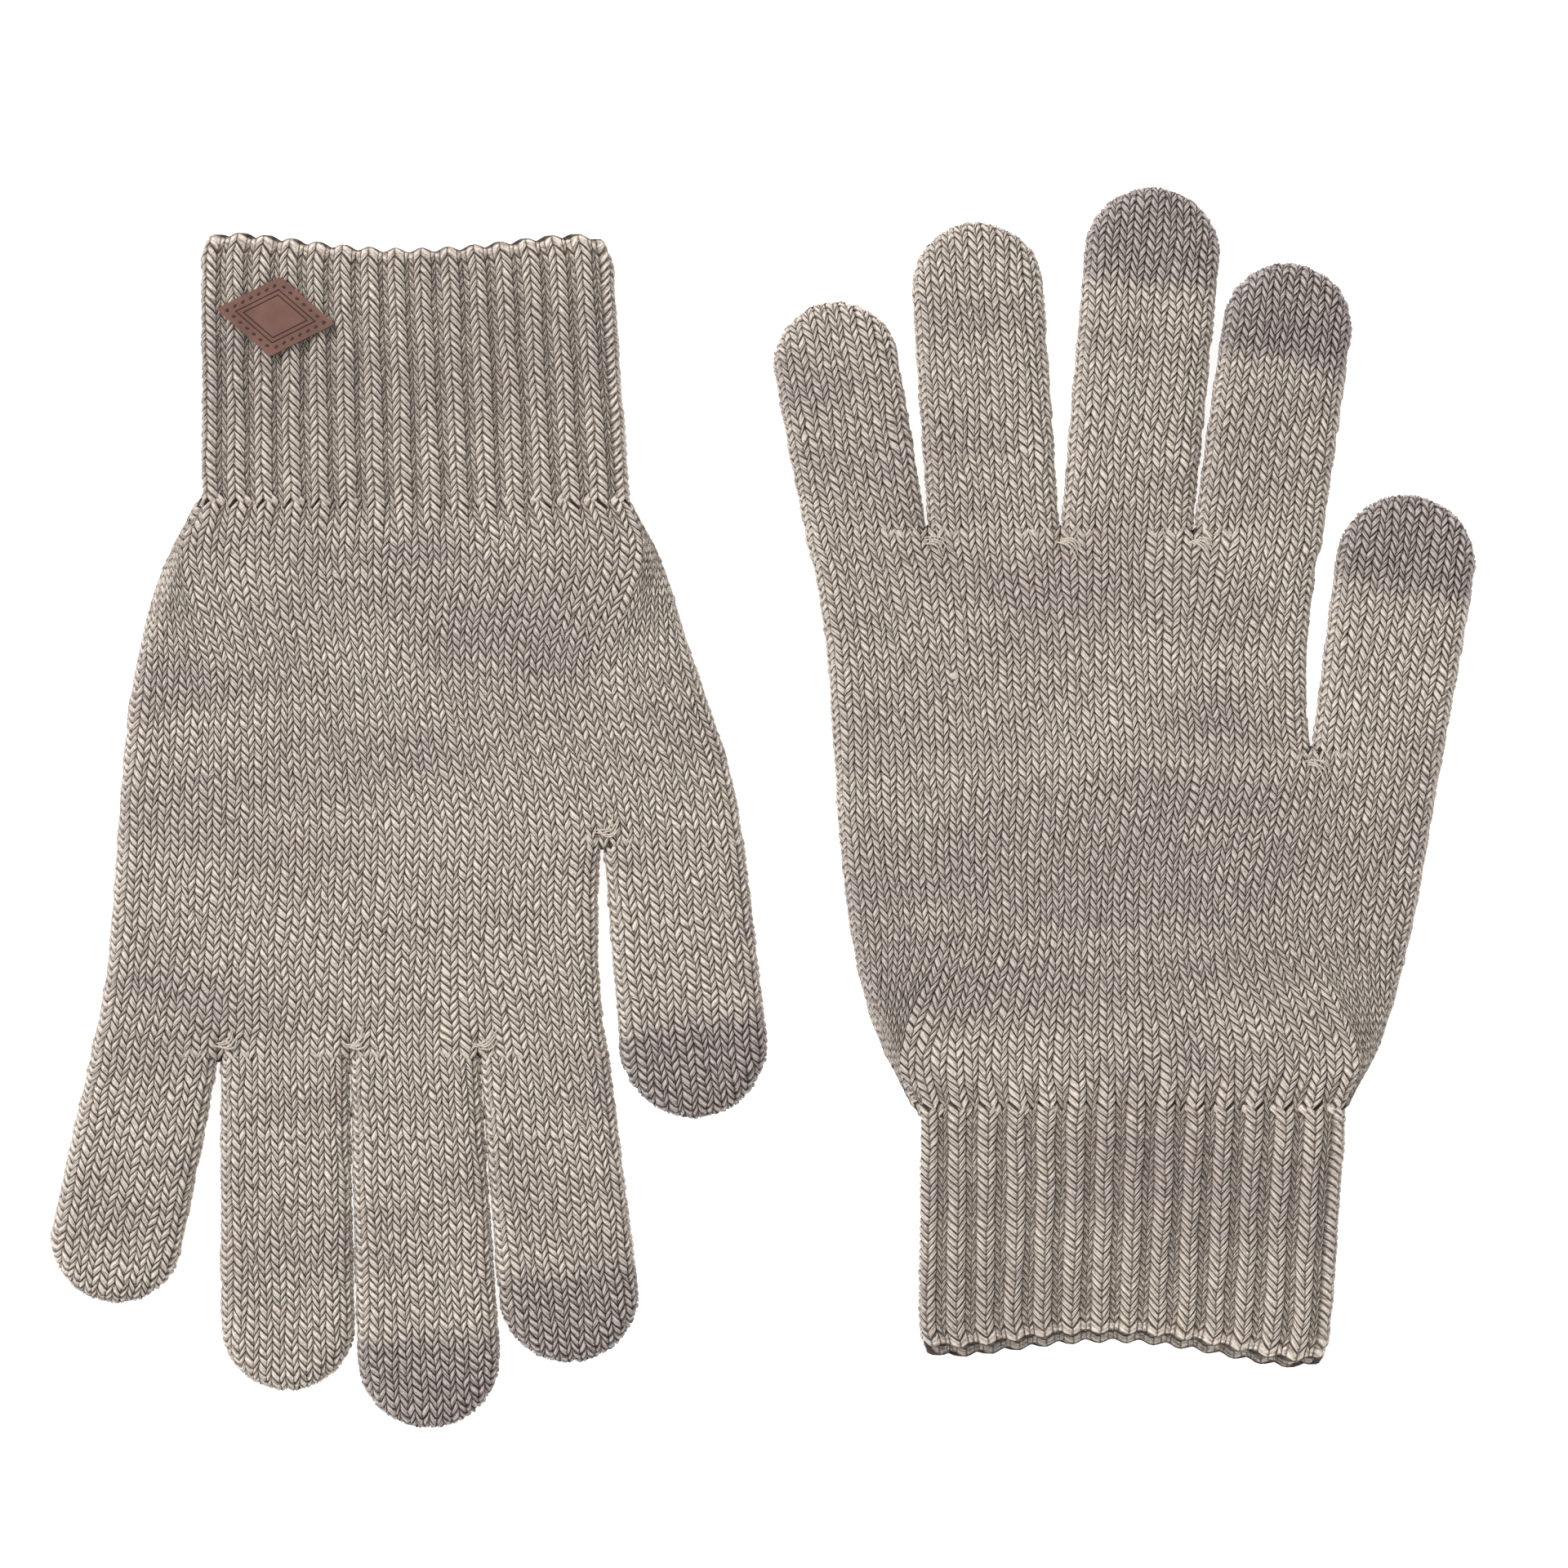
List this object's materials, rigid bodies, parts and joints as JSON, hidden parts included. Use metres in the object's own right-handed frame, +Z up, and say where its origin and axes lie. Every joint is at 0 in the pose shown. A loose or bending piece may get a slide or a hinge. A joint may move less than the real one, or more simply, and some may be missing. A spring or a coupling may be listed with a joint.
{
  "type": "touchscreen gloves",
  "caption": "Pair of knitted touchscreen gloves with ribbed cuffs, separate finger tubes, conductive fingertips and a stitched leather tag, lying flat.",
  "frame": {"origin": "centre of the pair's box, on the surface that the gloves lie on", "axes": "+Z up, out of the backs of the hands; +Y along the left-hand glove, cuff to fingertips; +X from the right-hand glove to the left-hand one"},
  "size_m": [0.2896, 0.2524, 0.0107],
  "materials": {
    "plain_knit": "chunky plain knit in a space-dyed beige-grey melange yarn",
    "rib_knit": "rib knit in the same yarn",
    "conductive_knit": "the same knit in a darker conductive yarn",
    "cream_yarn": "loose cream yarn ends",
    "leather": "smooth brown leather with a pressed double border",
    "thread": "dark waxed thread"
  },
  "bodies": {
    "left_cuff": {"left_cuff": "rib_knit"},
    "left_hand": {"left_lower_palm": "plain_knit", "left_upper_palm": "plain_knit", "left_crotch_yarn_ends": "cream_yarn"},
    "left_little_base": {"left_little_base": "plain_knit"},
    "left_little_end": {"left_little_end": "plain_knit"},
    "left_ring_base": {"left_ring_base": "plain_knit"},
    "left_ring_end": {"left_ring_end": "plain_knit"},
    "left_middle_base": {"left_middle_base": "plain_knit"},
    "left_middle_end": {"left_middle_end": "plain_knit", "left_middle_tip": "conductive_knit"},
    "left_index_base": {"left_index_base": "plain_knit"},
    "left_index_end": {"left_index_end": "plain_knit", "left_index_tip": "conductive_knit"},
    "left_thumb_base": {"left_thumb_base": "plain_knit"},
    "left_thumb_end": {"left_thumb_end": "plain_knit", "left_thumb_tip": "conductive_knit"},
    "right_cuff": {"right_cuff": "rib_knit", "tag": "leather", "tag_stitching": "thread"},
    "right_hand": {"right_lower_palm": "plain_knit", "right_upper_palm": "plain_knit", "right_crotch_yarn_ends": "cream_yarn"},
    "right_little_base": {"right_little_base": "plain_knit"},
    "right_little_end": {"right_little_end": "plain_knit"},
    "right_ring_base": {"right_ring_base": "plain_knit"},
    "right_ring_end": {"right_ring_end": "plain_knit"},
    "right_middle_base": {"right_middle_base": "plain_knit"},
    "right_middle_end": {"right_middle_end": "plain_knit", "right_middle_tip": "conductive_knit"},
    "right_index_base": {"right_index_base": "plain_knit"},
    "right_index_end": {"right_index_end": "plain_knit", "right_index_tip": "conductive_knit"},
    "right_thumb_base": {"right_thumb_base": "plain_knit"},
    "right_thumb_end": {"right_thumb_end": "plain_knit", "right_thumb_tip": "conductive_knit"}
  },
  "joints": [
    {"name": "left_wrist_fold", "type": "hinge", "parent": "left_cuff", "child": "left_hand", "pos_m": [0.07466, -0.06167, 0.009], "axis": [1, 0, 0], "range_deg": [0, 75]},
    {"name": "left_little_root_fold", "type": "hinge", "parent": "left_hand", "child": "left_little_base", "pos_m": [0.01953, 0.06353, 0.008], "axis": [1, 0, 0], "range_deg": [0, 75]},
    {"name": "left_little_middle_fold", "type": "hinge", "parent": "left_little_base", "child": "left_little_end", "pos_m": [0.01676, 0.07911, 0.008], "axis": [1, 0, 0], "range_deg": [0, 75]},
    {"name": "left_ring_root_fold", "type": "hinge", "parent": "left_hand", "child": "left_ring_base", "pos_m": [0.04641, 0.06353, 0.008], "axis": [1, 0, 0], "range_deg": [0, 75]},
    {"name": "left_ring_middle_fold", "type": "hinge", "parent": "left_ring_base", "child": "left_ring_end", "pos_m": [0.0448, 0.08726, 0.008], "axis": [1, 0, 0], "range_deg": [0, 75]},
    {"name": "left_middle_root_fold", "type": "hinge", "parent": "left_hand", "child": "left_middle_base", "pos_m": [0.07459, 0.06353, 0.008], "axis": [1, 0, 0], "range_deg": [0, 75]},
    {"name": "left_middle_middle_fold", "type": "hinge", "parent": "left_middle_base", "child": "left_middle_end", "pos_m": [0.07707, 0.09084, 0.008], "axis": [1, 0, 0], "range_deg": [0, 75]},
    {"name": "left_index_root_fold", "type": "hinge", "parent": "left_hand", "child": "left_index_base", "pos_m": [0.10178, 0.06353, 0.008], "axis": [1, 0, 0], "range_deg": [0, 75]},
    {"name": "left_index_middle_fold", "type": "hinge", "parent": "left_index_base", "child": "left_index_end", "pos_m": [0.10453, 0.08306, 0.008], "axis": [1, 0, 0], "range_deg": [0, 75]},
    {"name": "left_thumb_root_fold", "type": "hinge", "parent": "left_hand", "child": "left_thumb_base", "pos_m": [0.12606, 0.01853, 0.008], "axis": [1, 0, 0], "range_deg": [0, 75]},
    {"name": "left_thumb_middle_fold", "type": "hinge", "parent": "left_thumb_base", "child": "left_thumb_end", "pos_m": [0.12881, 0.03699, 0.008], "axis": [1, 0, 0], "range_deg": [0, 75]},
    {"name": "right_wrist_fold", "type": "hinge", "parent": "right_cuff", "child": "right_hand", "pos_m": [-0.07114, 0.06283, 0.009], "axis": [-1, 0, 0], "range_deg": [0, 75]},
    {"name": "right_little_root_fold", "type": "hinge", "parent": "right_hand", "child": "right_little_base", "pos_m": [-0.12538, -0.05777, 0.008], "axis": [-1, 0, 0], "range_deg": [0, 75]},
    {"name": "right_little_middle_fold", "type": "hinge", "parent": "right_little_base", "child": "right_little_end", "pos_m": [-0.12895, -0.07514, 0.008], "axis": [-1, 0, 0], "range_deg": [0, 75]},
    {"name": "right_ring_root_fold", "type": "hinge", "parent": "right_hand", "child": "right_ring_base", "pos_m": [-0.09731, -0.05777, 0.008], "axis": [-1, 0, 0], "range_deg": [0, 75]},
    {"name": "right_ring_middle_fold", "type": "hinge", "parent": "right_ring_base", "child": "right_ring_end", "pos_m": [-0.09703, -0.08417, 0.008], "axis": [-1, 0, 0], "range_deg": [0, 75]},
    {"name": "right_middle_root_fold", "type": "hinge", "parent": "right_hand", "child": "right_middle_base", "pos_m": [-0.07066, -0.05777, 0.008], "axis": [-1, 0, 0], "range_deg": [0, 75]},
    {"name": "right_middle_middle_fold", "type": "hinge", "parent": "right_middle_base", "child": "right_middle_end", "pos_m": [-0.06924, -0.08797, 0.008], "axis": [-1, 0, 0], "range_deg": [0, 75]},
    {"name": "right_index_root_fold", "type": "hinge", "parent": "right_hand", "child": "right_index_base", "pos_m": [-0.0439, -0.05777, 0.008], "axis": [-1, 0, 0], "range_deg": [0, 75]},
    {"name": "right_index_middle_fold", "type": "hinge", "parent": "right_index_base", "child": "right_index_end", "pos_m": [-0.04143, -0.08129, 0.008], "axis": [-1, 0, 0], "range_deg": [0, 75]},
    {"name": "right_thumb_root_fold", "type": "hinge", "parent": "right_hand", "child": "right_thumb_base", "pos_m": [-0.01754, -0.01457, 0.008], "axis": [-1, 0, 0], "range_deg": [0, 75]},
    {"name": "right_thumb_middle_fold", "type": "hinge", "parent": "right_thumb_base", "child": "right_thumb_end", "pos_m": [-0.01553, -0.03478, 0.008], "axis": [-1, 0, 0], "range_deg": [0, 75]},
    {"name": "right_glove_lift", "type": "slide", "parent": "left_cuff", "child": "right_cuff", "axis": [0, 0, 1], "range_m": [0, 0.1]}
  ],
  "couplings": [
    {"joint": "left_little_middle_fold", "follows": "left_little_root_fold", "ratio": 1},
    {"joint": "left_ring_middle_fold", "follows": "left_ring_root_fold", "ratio": 1},
    {"joint": "left_middle_middle_fold", "follows": "left_middle_root_fold", "ratio": 1},
    {"joint": "left_index_middle_fold", "follows": "left_index_root_fold", "ratio": 1},
    {"joint": "left_thumb_middle_fold", "follows": "left_thumb_root_fold", "ratio": 1},
    {"joint": "right_little_middle_fold", "follows": "right_little_root_fold", "ratio": 1},
    {"joint": "right_ring_middle_fold", "follows": "right_ring_root_fold", "ratio": 1},
    {"joint": "right_middle_middle_fold", "follows": "right_middle_root_fold", "ratio": 1},
    {"joint": "right_index_middle_fold", "follows": "right_index_root_fold", "ratio": 1},
    {"joint": "right_thumb_middle_fold", "follows": "right_thumb_root_fold", "ratio": 1}
  ]
}
